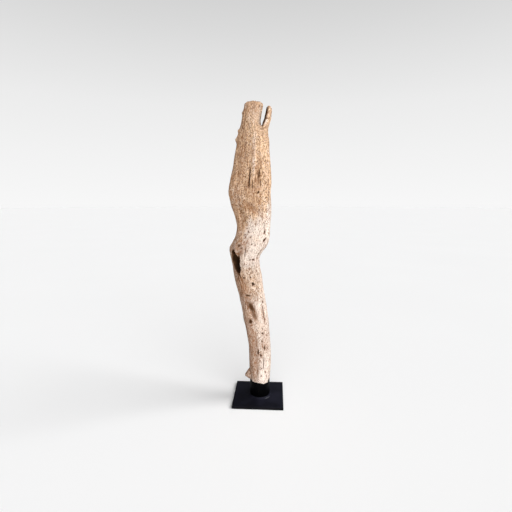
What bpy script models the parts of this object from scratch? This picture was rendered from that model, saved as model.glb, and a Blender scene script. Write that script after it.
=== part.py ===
"""A piece of driftwood standing in a welded steel socket stand.

Row frame: metres, +Z up, +X to the right seen from the front, +Y to the back.
The origin is the centre of the base plate's underside, where the stand rests.

The wood is one natural piece: a leaning leg, a knee with a rotted hollow, a broad
upper trunk and a forked top. Its foot is dressed to a round tenon that sits in the
tube of the stand, where two screws through the tube's back hold it.
"""

import math

import bmesh
import bpy
from mathutils import Matrix, Vector

MM = 0.001

# Stand: square plate, round socket tube welded on it
PLATE_SIDE = 0.150
PLATE_THICKNESS = 0.008
PLATE_CHAMFER = 0.0008
TUBE_DIAMETER = 0.0603
TUBE_WALL = 0.003
TUBE_HEIGHT = 0.0575
TUBE_OFF_CENTRE = 0.0035
TOUCH_GAP = 0.0003
TUBE_RADIUS = TUBE_DIAMETER / 2
TUBE_BOTTOM = PLATE_THICKNESS + TOUCH_GAP
RIM_HEIGHT = TUBE_BOTTOM + TUBE_HEIGHT
TUBE_FACETS = 56
RIM_CHAMFER = TUBE_WALL / 6
WELD_LEG = 0.0045
WELD_SAG = 0.72
WELD_STEPS = 5
WELD_THINNEST = 0.0002
WELD_LIP = 0.0004

# Wood foot: the tenon inside the tube and the shoulder over its rim
TENON_CLEARANCE = 0.0006
REBATE_RADIUS = TUBE_RADIUS - TUBE_WALL - TENON_CLEARANCE
TENON_RADIUS = REBATE_RADIUS - 0.0002
TENON_BOTTOM = 0.018
TENON_OVERLAP = 0.003
TENON_FACETS = 48
SHOULDER_CLEARANCE = 0.0006

# Two screws through the back of the tube into the tenon
SCREW_HEIGHT = 0.040
SCREW_ANGLES = {"fixing_screw_left": 125.0, "fixing_screw_right": 55.0}
SCREW_LENGTH = 0.020
SCREW_RADIUS = 0.0024
SCREW_POINT = 0.005
SCREW_HEAD_RADIUS = 0.0045
SCREW_HEAD_HEIGHT = 0.0028
SCREW_HEAD_ROUNDING = ((1.0, 0.45), (0.82, 0.12), (0.5, 0.0))
SCREW_FACETS = 24
SCREW_TIP_RADIUS = 0.0003
SCREW_HOLE_RADIUS = SCREW_RADIUS + 0.0004
SCREW_HOLE_DEPTH = SCREW_LENGTH + 0.0006
SCREW_HOLE_REACH = 0.006

# Outline of the trunk in mm: height, then how far left, right, front and back it reaches
TRUNK = [
    (52, -24.5, 33, -34.5, 29),
    (66, -25.5, 33, -34.5, 29),
    (100, -29.5, 34.5, -32.5, 29),
    (150, -31, 35, -30, 31),
    (205, -38, 31.5, -26, 36),
    (250, -48, 28, -23, 41),
    (295, -54.5, 22, -23, 42),
    (345, -64, 14, -28, 38),
    (381, -72.5, 10, -34, 33),
    (410, -75, 5, -39, 29),
    (432, -78, 4, -43, 26),
    (447, -81.5, 10, -44, 26),
    (466, -82.5, 22, -43, 30),
    (487, -71, 29.5, -38, 36),
    (522, -62, 33, -31, 42),
    (556, -68, 34.5, -29, 46),
    (590, -80, 35.5, -32, 48),
    (624, -86.5, 36, -36, 48),
    (657, -81, 36.5, -37, 46),
    (705, -71.5, 35, -34, 44),
    (750, -66, 29.5, -28, 43),
    (778, -62, 26, -25, 42),
    (794, -57, 16, -22, 41),
    (804, -52.5, 6, -20, 40),
    (822, -49, 6, -18, 38),
    (840, -45.5, 8.5, -16, 36),
    (857, -40, 11.5, -13, 33),
    (864, -36.5, 10, -10, 30),
    (867, -30, 4, -6, 26),
]
TRUNK_SEGMENTS = 36
RING_SPACING = 0.0122

# The foot's lower edge hangs lowest at front right and rises to the rim elsewhere
FOOT_LOW_ANGLE = math.radians(-62)
FOOT_RISE = 0.0165
FOOT_RISE_SHAPE = 0.6
FOOT_RISE_ENDS = 0.092

# The prong beside the top, in mm, the same five values
PRONG = [
    (752, -12, 24, -19, 37),
    (785, -2, 26, -19, 35),
    (800, 4.5, 27, -17, 32),
    (811, 10.4, 29.5, -15, 29),
    (824, 14.2, 33.3, -13, 26),
    (838, 16.8, 35.2, -10, 23),
    (848, 18.5, 35.2, -7, 20),
    (853, 20, 33, -3, 15),
    (855.5, 22.5, 30, 2, 10),
]
PRONG_SEGMENTS = 24
PRONG_RING_SPACING = 0.0065
PRONG_FLUTING = 0.6

# Torn root stub at the foot, in mm: x, then its centre's y and z and its half sizes
STUB = [
    (-14, -7, 80, 17, 22),
    (-28, -9, 78.5, 13, 17),
    (-36, -11, 77, 9, 9),
    (-41, -12, 75, 4, 4),
]
STUB_SEGMENTS = 18

# Rotted hollow below the knee: centre, half sizes, and its turn about Z and its lean
HOLLOW_CENTRE = Vector((-61, -30, 425)) * MM
HOLLOW_HALF_SIZES = Vector((10.5, 20, 34)) * MM
HOLLOW_TURN = math.radians(-32)
HOLLOW_LEAN = math.radians(-13)
HOLLOW_SEGMENTS = 24
HOLLOW_RINGS = 14

FLUTES = ((3, 0.035, 0.9, 5.5), (5, 0.022, 2.1, -9.0), (8, 0.010, 0.0, 16.0))
SQUARENESS = 2.25

WOOD = ("bleached_wood", (0.58, 0.42, 0.29), 0.85, 0.0)
STEEL = ("black_steel", (0.012, 0.012, 0.015), 0.45, 0.6)
SCREW = ("black_screw", (0.02, 0.02, 0.022), 0.4, 0.9)


def clear_scene():
    for obj in list(bpy.data.objects):
        bpy.data.objects.remove(obj)


def material(name, colour, roughness, metallic):
    mat = bpy.data.materials.get(name)
    if mat is None:
        mat = bpy.data.materials.new(name)
        mat.use_nodes = True
        shader = mat.node_tree.nodes["Principled BSDF"]
        shader.inputs["Base Color"].default_value = (*colour, 1)
        shader.inputs["Roughness"].default_value = roughness
        shader.inputs["Metallic"].default_value = metallic
    return mat


def object_from(name, bm, finish, helper=False):
    """The bmesh as a smooth-shaded object, or as a hidden cutter."""
    bmesh.ops.recalc_face_normals(bm, faces=bm.faces)
    mesh = bpy.data.meshes.new(name)
    bm.to_mesh(mesh)
    bm.free()
    mesh.shade_smooth()
    mesh.set_sharp_from_angle(angle=math.radians(40))
    obj = bpy.data.objects.new(name, mesh)
    bpy.context.scene.collection.objects.link(obj)
    obj.data.materials.append(material(*finish))
    if helper:
        obj.hide_render = True
        obj.display_type = "WIRE"
    return obj


def boolean(obj, operation, other):
    step = obj.modifiers.new(other.name, "BOOLEAN")
    step.operation = operation
    step.solver = "EXACT"
    step.object = other


def smooth_between(rows, height):
    """The outline's four reaches at a height, on a smooth curve through its rows."""
    last = len(rows) - 1
    k = max(i for i in range(last) if rows[i][0] <= height or i == 0)
    before, start, end, after = (rows[min(max(k + d, 0), last)] for d in (-1, 0, 1, 2))
    span = end[0] - start[0]
    t = min(max((height - start[0]) / span, 0), 1)
    reaches = []
    for side in range(1, 5):
        slope_in = (end[side] - before[side]) / (end[0] - before[0]) * span
        slope_out = (after[side] - start[side]) / (after[0] - start[0]) * span
        reaches.append(
            (2 * t**3 - 3 * t**2 + 1) * start[side]
            + (t**3 - 2 * t**2 + t) * slope_in
            + (3 * t**2 - 2 * t**3) * end[side]
            + (t**3 - t**2) * slope_out
        )
    return reaches


def ring_points(rows, height, segments, fluting):
    """One cross-section: a slightly square oval, with flutes that turn with the height."""
    left, right, front, back = smooth_between(rows, height)
    centre = Vector(((left + right) / 2, (front + back) / 2, height))
    half_x = (right - left) / 2
    half_y = (back - front) / 2
    points = []
    for i in range(segments):
        angle = 2 * math.pi * i / segments
        c, s = math.cos(angle), math.sin(angle)
        reach = (abs(c) ** SQUARENESS + abs(s) ** SQUARENESS) ** (-1 / SQUARENESS)
        ripple = sum(
            size * math.sin(count * angle + phase + twist * height / 1000)
            for count, size, phase, twist in FLUTES
        )
        reach *= 1 + fluting * ripple
        points.append((centre + Vector((half_x * reach * c, half_y * reach * s, 0))) * MM)
    return points


def foot_rise(point, angle):
    """How far a point near the foot is raised, so that the lower edge follows the rim."""
    fade = min(max((FOOT_RISE_ENDS - point.z) / (FOOT_RISE_ENDS - TRUNK[0][0] * MM), 0), 1)
    away = (1 - math.cos(angle - FOOT_LOW_ANGLE)) / 2
    return FOOT_RISE * fade * away**FOOT_RISE_SHAPE


def ring_heights(rows, spacing):
    """Even heights between the outline's ends, plus its last few, which round the end."""
    low, high = rows[0][0], rows[-3][0]
    count = round((high - low) * MM / spacing)
    even = [low + (high - low) * i / count for i in range(count + 1)]
    return even + [rows[-2][0], rows[-1][0]]


def skin(rings):
    """A closed mesh through rings of points, each end closed by a fan of triangles."""
    bm = bmesh.new()
    loops = [[bm.verts.new(point) for point in ring] for ring in rings]
    count = len(loops[0])
    for lower, upper in zip(loops, loops[1:]):
        for i in range(count):
            j = (i + 1) % count
            bm.faces.new((lower[i], lower[j], upper[j], upper[i]))
    for loop in (loops[0], loops[-1]):
        middle = bm.verts.new(sum((v.co for v in loop), Vector()) / count)
        for i in range(count):
            bm.faces.new((loop[i], loop[(i + 1) % count], middle))
    return bm


def loft(rows, segments, spacing, fluting=1.0, has_foot=False):
    rings = []
    for height in ring_heights(rows, spacing):
        ring = ring_points(rows, height, segments, fluting)
        if has_foot:
            for i, point in enumerate(ring):
                point.z += foot_rise(point, 2 * math.pi * i / segments)
        rings.append(ring)
    return skin(rings)


def cylinder(radius, low, high, facets, x=0.0, top_radius=None):
    """A closed cylinder or cone on the Z axis, moved along X."""
    bm = bmesh.new()
    bmesh.ops.create_cone(
        bm,
        cap_ends=True,
        segments=facets,
        radius1=radius,
        radius2=radius if top_radius is None else top_radius,
        depth=high - low,
        matrix=Matrix.Translation((x, 0, (low + high) / 2)),
    )
    return bm


def turned(profile, facets, x=0.0):
    """A ring turned about Z from a closed profile of (radius, height) points."""
    bm = bmesh.new()
    loops = []
    for i in range(facets):
        angle = 2 * math.pi * i / facets
        c, s = math.cos(angle), math.sin(angle)
        loops.append([bm.verts.new((x + r * c, r * s, z)) for r, z in profile])
    for i in range(facets):
        here, there = loops[i], loops[(i + 1) % facets]
        for k in range(len(profile)):
            n = (k + 1) % len(profile)
            bm.faces.new((here[k], there[k], there[n], here[n]))
    return bm


def make_base_plate():
    bm = bmesh.new()
    bmesh.ops.create_cube(bm, size=1)
    bmesh.ops.scale(bm, verts=bm.verts, vec=(PLATE_SIDE, PLATE_SIDE, PLATE_THICKNESS))
    bmesh.ops.translate(bm, verts=bm.verts, vec=(0, 0, PLATE_THICKNESS / 2))
    bmesh.ops.bevel(
        bm,
        geom=bm.edges[:],
        offset=PLATE_CHAMFER,
        segments=2,
        profile=0.5,
        affect="EDGES",
        clamp_overlap=True,
    )
    return object_from("base_plate", bm, STEEL)


def screw_frame(angle_deg):
    """Placement of a screw: its own +Z points out of the tube, from the tube's outer wall."""
    angle = math.radians(angle_deg)
    outward = Vector((math.cos(angle), math.sin(angle), 0))
    seat = Vector((TUBE_OFF_CENTRE, 0, SCREW_HEIGHT)) + outward * TUBE_RADIUS
    return Matrix.Translation(seat) @ outward.to_track_quat("Z", "Y").to_matrix().to_4x4()


def screw_hole_cutters():
    cutters = []
    for name, angle in SCREW_ANGLES.items():
        bm = cylinder(SCREW_HOLE_RADIUS, -SCREW_HOLE_DEPTH, SCREW_HOLE_REACH, SCREW_FACETS)
        cutter = object_from(f"{name}_hole", bm, SCREW, helper=True)
        cutter.matrix_world = screw_frame(angle)
        cutters.append(cutter)
    return cutters


def make_socket_tube(hole_cutters):
    inner = TUBE_RADIUS - TUBE_WALL
    profile = [
        (inner, TUBE_BOTTOM),
        (TUBE_RADIUS, TUBE_BOTTOM),
        (TUBE_RADIUS, RIM_HEIGHT - RIM_CHAMFER),
        (TUBE_RADIUS - RIM_CHAMFER, RIM_HEIGHT),
        (inner + RIM_CHAMFER, RIM_HEIGHT),
        (inner, RIM_HEIGHT - RIM_CHAMFER),
    ]
    tube = object_from("socket_tube", turned(profile, TUBE_FACETS, TUBE_OFF_CENTRE), STEEL)
    for cutter in hole_cutters:
        boolean(tube, "DIFFERENCE", cutter)
    return tube


def make_weld_bead():
    """A hollow-faced fillet between tube and plate, clear of both by the touching gap."""
    inner = TUBE_RADIUS + TOUCH_GAP
    low = PLATE_THICKNESS + TOUCH_GAP
    profile = [(inner, low)]
    for step in range(WELD_STEPS + 1):
        share = step / WELD_STEPS
        turn = math.pi / 2 * share
        inward = WELD_SAG * math.sin(turn) + (1 - WELD_SAG) * share
        upward = WELD_SAG * (1 - math.cos(turn)) + (1 - WELD_SAG) * share
        radius = inner + max(WELD_LEG * (1 - inward), WELD_THINNEST)
        height = low + max(WELD_LEG * upward, WELD_LIP)
        profile.append((radius, height))
    return object_from("weld_bead", turned(profile, TUBE_FACETS, TUBE_OFF_CENTRE), STEEL)


def make_screw(name, angle_deg):
    """A pan-head screw whose head stands the touching gap clear of the tube."""
    head = SCREW_HEAD_RADIUS
    top = TOUCH_GAP + SCREW_HEAD_HEIGHT
    outline = [
        (SCREW_TIP_RADIUS, -SCREW_LENGTH),
        (SCREW_RADIUS, -SCREW_LENGTH + SCREW_POINT),
        (SCREW_RADIUS, TOUCH_GAP),
        (head, TOUCH_GAP),
    ]
    for reach, drop in SCREW_HEAD_ROUNDING:
        outline.append((head * reach, top - SCREW_HEAD_HEIGHT * drop))
    turns = [2 * math.pi * i / SCREW_FACETS for i in range(SCREW_FACETS)]
    rings = []
    for radius, height in outline:
        rings.append([Vector((radius * math.cos(a), radius * math.sin(a), height)) for a in turns])
    screw = object_from(name, skin(rings), SCREW)
    screw.matrix_world = screw_frame(angle_deg)
    return screw


def make_stub():
    """A short stub that narrows from the trunk to a blunt torn end."""
    rings = []
    for x, y, z, half_y, half_z in STUB:
        ring = []
        for i in range(STUB_SEGMENTS):
            angle = 2 * math.pi * i / STUB_SEGMENTS
            offset = Vector((0, half_y * math.cos(angle), half_z * math.sin(angle)))
            ring.append((Vector((x, y, z)) + offset) * MM)
        rings.append(ring)
    return object_from("stub_shape", skin(rings), WOOD, helper=True)


def make_hollow_cutter():
    bm = bmesh.new()
    bmesh.ops.create_uvsphere(bm, u_segments=HOLLOW_SEGMENTS, v_segments=HOLLOW_RINGS, radius=1)
    bmesh.ops.scale(bm, verts=bm.verts, vec=HOLLOW_HALF_SIZES)
    turn = Matrix.Rotation(HOLLOW_LEAN, 3, "Y") @ Matrix.Rotation(HOLLOW_TURN, 3, "Z")
    bmesh.ops.rotate(bm, verts=bm.verts, matrix=turn)
    bmesh.ops.translate(bm, verts=bm.verts, vec=HOLLOW_CENTRE)
    return object_from("hollow_shape", bm, WOOD, helper=True)


def make_driftwood(hole_cutters):
    trunk_loft = loft(TRUNK, TRUNK_SEGMENTS, RING_SPACING, has_foot=True)
    wood = object_from("driftwood", trunk_loft, WOOD)
    prong_loft = loft(PRONG, PRONG_SEGMENTS, PRONG_RING_SPACING, fluting=PRONG_FLUTING)
    prong = object_from("prong_shape", prong_loft, WOOD, helper=True)
    boolean(wood, "UNION", prong)
    boolean(wood, "UNION", make_stub())
    boolean(wood, "DIFFERENCE", make_hollow_cutter())

    # The rebate that clears the tube's wall, from below the trunk up to the rim
    outer = TUBE_RADIUS + SHOULDER_CLEARANCE
    low, high = TENON_BOTTOM, RIM_HEIGHT + SHOULDER_CLEARANCE
    profile = [(REBATE_RADIUS, low), (outer, low), (outer, high), (REBATE_RADIUS, high)]
    rebate = turned(profile, TUBE_FACETS, TUBE_OFF_CENTRE)
    boolean(wood, "DIFFERENCE", object_from("rebate_shape", rebate, WOOD, helper=True))

    top = RIM_HEIGHT + TENON_OVERLAP
    tenon = cylinder(TENON_RADIUS, TENON_BOTTOM, top, TENON_FACETS, TUBE_OFF_CENTRE)
    boolean(wood, "UNION", object_from("tenon_shape", tenon, WOOD, helper=True))
    for cutter in hole_cutters:
        boolean(wood, "DIFFERENCE", cutter)
    return wood


def main():
    clear_scene()
    hole_cutters = screw_hole_cutters()
    make_base_plate()
    make_socket_tube(hole_cutters)
    make_weld_bead()
    for name, angle in SCREW_ANGLES.items():
        make_screw(name, angle)
    make_driftwood(hole_cutters)


main()
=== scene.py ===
"""Driftwood sculpture on a black steel socket stand: its looks, built round the fixed frame.

The frame gives every size and place. Each operator makes one piece, or the stage, and
main() calls them in order. Lengths are in metres, +Z is up, and the front looks along +Y.
"""

import itertools
import math

import bmesh
import bpy
import numpy as np
from bpy.props import FloatProperty, FloatVectorProperty, IntProperty, PointerProperty
from mathutils import Matrix, Vector


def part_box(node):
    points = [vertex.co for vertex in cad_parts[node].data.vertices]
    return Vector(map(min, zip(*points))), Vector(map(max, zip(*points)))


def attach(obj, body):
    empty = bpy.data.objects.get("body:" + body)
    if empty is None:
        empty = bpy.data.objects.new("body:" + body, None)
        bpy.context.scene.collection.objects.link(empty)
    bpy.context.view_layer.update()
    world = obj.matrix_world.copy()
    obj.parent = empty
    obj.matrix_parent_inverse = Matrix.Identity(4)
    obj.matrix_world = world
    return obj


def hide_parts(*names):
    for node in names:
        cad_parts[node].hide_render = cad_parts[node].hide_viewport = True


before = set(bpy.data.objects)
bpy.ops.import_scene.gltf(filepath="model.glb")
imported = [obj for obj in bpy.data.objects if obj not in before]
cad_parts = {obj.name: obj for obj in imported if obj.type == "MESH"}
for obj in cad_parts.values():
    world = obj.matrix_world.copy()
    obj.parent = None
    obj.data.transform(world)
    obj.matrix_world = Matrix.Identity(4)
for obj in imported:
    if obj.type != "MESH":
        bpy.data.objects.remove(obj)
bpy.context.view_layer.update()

bl_info = {
    "name": "Driftwood on a Socket Stand",
    "version": (1, 0, 0),
    "blender": (4, 5, 0),
    "location": "3D View > Sidebar > Driftwood",
    "description": "Models and finishes a weathered driftwood piece and its steel stand",
    "category": "Add Mesh",
}

MM = 0.001
BODY = "root"

PLATE_LOW, PLATE_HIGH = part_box("base_plate")
TUBE_LOW, TUBE_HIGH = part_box("socket_tube")
WELD_LOW, WELD_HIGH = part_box("weld_bead")
WOOD_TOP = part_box("driftwood")[1].z
TUBE_AXIS = (TUBE_LOW + TUBE_HIGH) / 2
TUBE_RADIUS = (TUBE_HIGH.x - TUBE_LOW.x) / 2
TUBE_WALL = 3 * MM
RIM = TUBE_HIGH.z

MERGE_DISTANCE = 0.01 * MM

# Where the top forks: the line between trunk and prong, as x at a height
FORK_HEIGHT = 0.803
FORK_X = 0.0045
FORK_LEAN = 0.17
PRONG_CENTRE_X = 0.0155
PRONG_CENTRE_Y = 0.007
PRONG_LEAN = 0.22
PRONG_RADIUS = 0.015
GRAIN_RADIUS = 0.045

# Directions of the broad front light and, seen from above, of the key light
FRONT_LIGHT = (0.35, -0.79, 0.50)
KEY_HEADING = (0.998, 0.056)
# The backdrop's greys, each with the height of the view where it is reached
BACKDROP_GREYS = ((0.0, 0.93), (0.12, 0.89), (0.24, 0.84), (0.34, 0.76), (0.46, 0.65))

CAMERA_PLACE = (0.0494, -1.0265, 0.5952)
CAMERA_DOWN_DEG = 8.67
CAMERA_LEFT_DEG = 3.22
LENS = 25.07
SENSOR = 36

# Screws: a pan head with a hexagon socket on a pointed shank
HEAD_RADIUS = 4.5 * MM
HEAD_HEIGHT = 2.8 * MM
HEAD_GAP = 0.3 * MM
SHANK_RADIUS = 2.4 * MM
SHANK_LENGTH = 15 * MM
POINT_LENGTH = 5 * MM
POINT_SHARE = 0.12
HEX_RADIUS = 1.45 * MM
HEX_DEPTH = 3.2 * MM

# Weld: gap to the tube, hollowness and steps of its face, steps round it, ripple depth
WELD_GAP = 0.3 * MM
WELD_SAG = 0.80
WELD_FACE_STEPS = 7
WELD_TURN_STEPS = 408
WELD_RIPPLE = 0.28 * MM


# ---- settings


def length_setting(name, description, default, **limits):
    """A length, shown to a tenth of a millimetre."""
    return FloatProperty(
        name=name, description=description, default=default, precision=4, unit="LENGTH", **limits
    )


def colour_setting(name, description, default):
    return FloatVectorProperty(
        name=name, description=description, default=default, subtype="COLOR", min=0.0, max=1.0
    )


def brightness_setting(name, description, default):
    return FloatProperty(name=name, description=description, default=default, min=0.0)


def angle_setting(name, description, default):
    """An angle, given here in degrees."""
    return FloatProperty(
        name=name, description=description, default=math.radians(default), subtype="ANGLE"
    )


class DriftwoodWoodSettings(bpy.types.PropertyGroup):
    """Sizes and colours of the wood"""

    mesh_size: length_setting(
        "Mesh size", "Spacing of the fine mesh that the grain is carved in",
        1.1 * MM, min=0.8 * MM, max=4 * MM,
    )
    triangles: IntProperty(
        name="Triangles", description="Triangles left after the smooth stretches are thinned",
        default=190000, min=20000, max=199000,
    )
    lump_height: length_setting("Lump height", "Height of the broad lumps", 1.5 * MM)
    flute_depth: length_setting("Flute depth", "Depth of the wide flutes along the grain", 1.5 * MM)
    groove_depth: length_setting("Groove depth", "Depth of the narrow weathered grooves", 0.8 * MM)
    fibre_depth: length_setting(
        "Fibre depth", "Depth of the finest raised grain in the mesh", 0.3 * MM
    )
    mottle_height: length_setting(
        "Mottle height", "Height of the small uneven lumps of the worn surface", 0.4 * MM
    )
    tan_colour: colour_setting("Tan", "Colour of the upper wood", (0.90, 0.60, 0.39))
    cream_colour: colour_setting(
        "Bleached cream", "Colour of the bleached lower wood", (0.90, 0.755, 0.665)
    )
    stain_colour: colour_setting(
        "Stain", "Colour of the brown stains, flecks and knots", (0.36, 0.165, 0.072)
    )
    # The rot colour is also painted shade: in the fork's slit, in pits and cracks, under two lumps
    # and deep in the hollow
    rot_and_shade_colour: colour_setting(
        "Rot", "Colour inside the hollow, the cracks and the pits", (0.021, 0.009, 0.004)
    )


class DriftwoodStandSettings(bpy.types.PropertyGroup):
    """Sizes and colours of the steel stand"""

    plate_corner: length_setting("Plate corner", "Radius of the plate's upright corners", 1.0 * MM)
    plate_edge: length_setting("Plate edge", "Width of the broken edges of the plate", 0.7 * MM)
    rim_round: length_setting("Rim rounding", "Rounding of the tube's rim", 0.6 * MM)
    weld_ripples: IntProperty(
        name="Weld ripples", description="Ripples round the weld bead",
        default=68, min=0, max=120,
    )
    plate_colour: colour_setting(
        "Plate black", "Colour of the plate's finish", (0.0100, 0.0100, 0.0165)
    )
    tube_colour: colour_setting(
        "Tube black", "Colour of the tube's finish", (0.0006, 0.0006, 0.0009)
    )
    # Bare steel also gives, doubled, the painted highlight on the weld
    bare_and_highlight_colour: colour_setting(
        "Bare steel", "Colour where the black is rubbed off", (0.05, 0.05, 0.055)
    )


class DriftwoodStageSettings(bpy.types.PropertyGroup):
    """Floor, light and camera"""

    floor_radius: length_setting("Floor radius", "Radius of the pale floor", 40.0)
    floor_colour: colour_setting("Floor colour", "Colour of the pale floor", (0.931, 0.931, 0.933))
    fill: brightness_setting("Fill light", "Brightness of the even light from all round", 0.10)
    overhead: brightness_setting(
        "Overhead light", "Brightness of the soft light straight above", 0.14
    )
    front: brightness_setting(
        "Front light", "Brightness of the broad soft light at the front right", 3.8
    )
    key: brightness_setting(
        "Key light", "Strength of the light from the right that casts the shadow", 1.65
    )
    key_height: angle_setting("Key height", "Height of the key light above the horizon", 40)
    key_spread: angle_setting(
        "Key spread", "Angle that the key light fills, which softens the shadow", 30
    )


# ---- shared helpers


def deselect_all():
    if bpy.context.object is not None and bpy.context.object.mode != "OBJECT":
        bpy.ops.object.mode_set(mode="OBJECT")
    bpy.ops.object.select_all(action="DESELECT")


def make_active(obj):
    deselect_all()
    obj.select_set(True)
    bpy.context.view_layer.objects.active = obj


def apply_modifier(obj, kind, **values):
    """Adds a modifier, sets it and applies it."""
    make_active(obj)
    modifier = obj.modifiers.new(kind.lower(), kind)
    for name, value in values.items():
        setattr(modifier, name, value)
    bpy.ops.object.modifier_apply(modifier=modifier.name)


def edit_mesh(obj):
    """The object's mesh in edit mode, with nothing selected."""
    make_active(obj)
    bpy.ops.object.mode_set(mode="EDIT")
    bpy.ops.mesh.select_all(action="DESELECT")
    return bmesh.from_edit_mesh(obj.data)


def leave_edit(obj):
    bmesh.update_edit_mesh(obj.data)
    bpy.ops.object.mode_set(mode="OBJECT")


def place_in_mesh(obj):
    """Moves the object's place, turn and scale into its mesh."""
    make_active(obj)
    bpy.ops.object.transform_apply(location=True, rotation=True, scale=True)


def shade(obj, angle_deg):
    make_active(obj)
    bpy.ops.object.shade_smooth_by_angle(angle=math.radians(angle_deg))


def finish_piece(obj, name, slot, material, *nodes):
    """Names the piece, gives it its finish and sets what it rides on and stands for."""
    obj.name = name
    obj.data.name = name
    obj.data.materials.clear()
    obj.data.materials.append(material)
    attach(obj, BODY)
    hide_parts(*nodes)


def vectors_of(items, field):
    """One vector per item, as rows."""
    values = np.empty(len(items) * 3, np.float32)
    items.foreach_get(field, values)
    return values.reshape(-1, 3).astype(float)


def set_points(mesh, points):
    mesh.vertices.foreach_set("co", points.astype(np.float32).ravel())
    mesh.update()


def smooth_step(low, high, value):
    t = np.clip((value - low) / (high - low), 0, 1)
    return t * t * (3 - 2 * t)


def gradient_noise(points, seed):
    """Smooth noise from about -1 to 1. Its cells are one unit wide."""
    cell = np.floor(points).astype(np.int64)
    inside = points - cell
    ease = inside**3 * (inside * (inside * 6 - 15) + 10)
    total = np.zeros(len(points))
    for corner in itertools.product((0, 1), repeat=3):
        at = cell + corner
        mixed = at[:, 0] * 374761393 + at[:, 1] * 668265263
        mixed = mixed + at[:, 2] * 2147483647 + seed * 1274126177
        mixed = (mixed ^ (mixed >> 13)) * 1103515245 & 0x7FFFFFFF
        mixed = (mixed ^ (mixed >> 15)) * 2654435761 & 0x7FFFFFFF
        slope = [((mixed >> shift) & 0x3FF) / 511.5 - 1 for shift in (1, 11, 21)]
        away = inside - corner
        value = sum(slope[k] * away[:, k] for k in range(3))
        weight = np.prod(np.where(corner, ease, 1 - ease), axis=1)
        total += value * weight
    return total * 1.4


def layered_noise(points, seed, layers=3):
    """Noise with finer layers added, each half as strong and half as wide."""
    total = np.zeros(len(points))
    for layer in range(layers):
        total += gradient_noise(points * 2**layer, seed + layer) * 0.5**layer
    return total


# ---- wood: grain coordinates


def fork_line(height):
    """x of the split between trunk and prong."""
    return FORK_X + (height - FORK_HEIGHT) * FORK_LEAN


def centre_line():
    """Heights and the trunk's middle at each, smoothed, from the frame's wood."""
    points = vectors_of(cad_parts["driftwood"].data.vertices, "co")
    spacing = 0.012
    heights = np.arange(RIM + spacing, WOOD_TOP - spacing / 2, spacing)
    middles = []
    for height in heights:
        near = points[np.abs(points[:, 2] - height) < 0.010]
        if height > FORK_HEIGHT:
            near = near[near[:, 0] < fork_line(height) + 0.003]
        middles.append((near.min(axis=0)[:2] + near.max(axis=0)[:2]) / 2)
    middles = np.array(middles)
    padded = np.pad(middles, ((2, 2), (0, 0)), mode="edge")
    smooth = sum(padded[k : k + len(middles)] for k in range(5)) / 5
    return heights, smooth


def trunk_of(points):
    """The points, with each one's angle about the trunk's middle and distance from it."""
    heights, middles = centre_line()
    dx = points[:, 0] - np.interp(points[:, 2], heights, middles[:, 0])
    dy = points[:, 1] - np.interp(points[:, 2], heights, middles[:, 1])
    return points, np.arctan2(dy, dx), np.hypot(dx, dy)


def on_drum(angle, radius, height):
    """A point at an angle on an upright drum."""
    return np.stack([np.cos(angle) * radius, np.sin(angle) * radius, height], axis=1)


def grain_coordinates(trunk, normals):
    """A point on a drum, whose axis is the grain: patterns stretched along z follow the wood."""
    points, angle, distance = trunk
    height = points[:, 2]
    slow = on_drum(angle, 0.8, height / 0.11)
    twisted = angle + 0.16 * gradient_noise(slow, 5) + 0.5 * (height - 0.4)
    lifted = height + 0.010 * gradient_noise(slow * 1.7, 6)
    for knot_angle, knot_height, reach, strength in KNOTS:
        across = wrapped(angle - math.radians(knot_angle)) * np.maximum(distance, 0.01)
        along = height - knot_height * MM
        near = np.exp(-(across**2 + (along * 0.6) ** 2) / (reach * MM) ** 2)
        twisted -= strength * near * np.sign(across) * np.minimum(np.abs(across) / 0.006, 1)
    drum = on_drum(twisted, GRAIN_RADIUS, lifted)
    lean = height - FORK_HEIGHT
    prong_dx = points[:, 0] - PRONG_CENTRE_X - lean * PRONG_LEAN
    prong_dy = points[:, 1] - PRONG_CENTRE_Y
    prong_drum = on_drum(np.arctan2(prong_dy, prong_dx), PRONG_RADIUS, lifted)

    # On the torn ends the fibres are seen end on, so each drum is filled in to its axis
    is_end = smooth_step(0.45, 0.85, normals[:, 2]) * smooth_step(0.832, 0.846, height)
    drum[:, :2] *= (1 - is_end * (1 - np.minimum(distance / 0.030, 1)))[:, None]
    prong_distance = np.hypot(prong_dx, prong_dy)
    prong_drum[:, :2] *= (1 - is_end * (1 - np.minimum(prong_distance / 0.010, 1)))[:, None]
    is_prong = smooth_step(-0.004, 0.004, points[:, 0] - fork_line(height))
    is_prong *= smooth_step(FORK_HEIGHT - 0.035, FORK_HEIGHT + 0.004, height)
    return drum + (prong_drum - drum) * is_prong[:, None]


def wrapped(angle):
    """The same angle between minus half a turn and half a turn."""
    return (angle + math.pi) % (2 * math.pi) - math.pi


def turned(first, second, angle):
    """Two coordinates read from axes turned by an angle."""
    new_first = first * math.cos(angle) + second * math.sin(angle)
    return new_first, second * math.cos(angle) - first * math.sin(angle)


# ---- wood: what was worn into it

# In these tables an angle is in degrees about the trunk's middle, 0 at the right and -90 at
# the front. Heights, half sizes and depths are in mm. A positive tilt leans a top to the left.

# Knots bend the grain round them: angle, height, reach, strength
KNOTS = [
    (-121, 475, 26, 0.35),
    (-113, 249, 13, 0.35),
    (-69, 360, 11, 0.30),
    (-55, 640, 18, 0.20),
    (60, 610, 24, 0.40),
    (150, 330, 20, 0.40),
    (20, 250, 14, 0.30),
    (100, 720, 20, 0.30),
]
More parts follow.
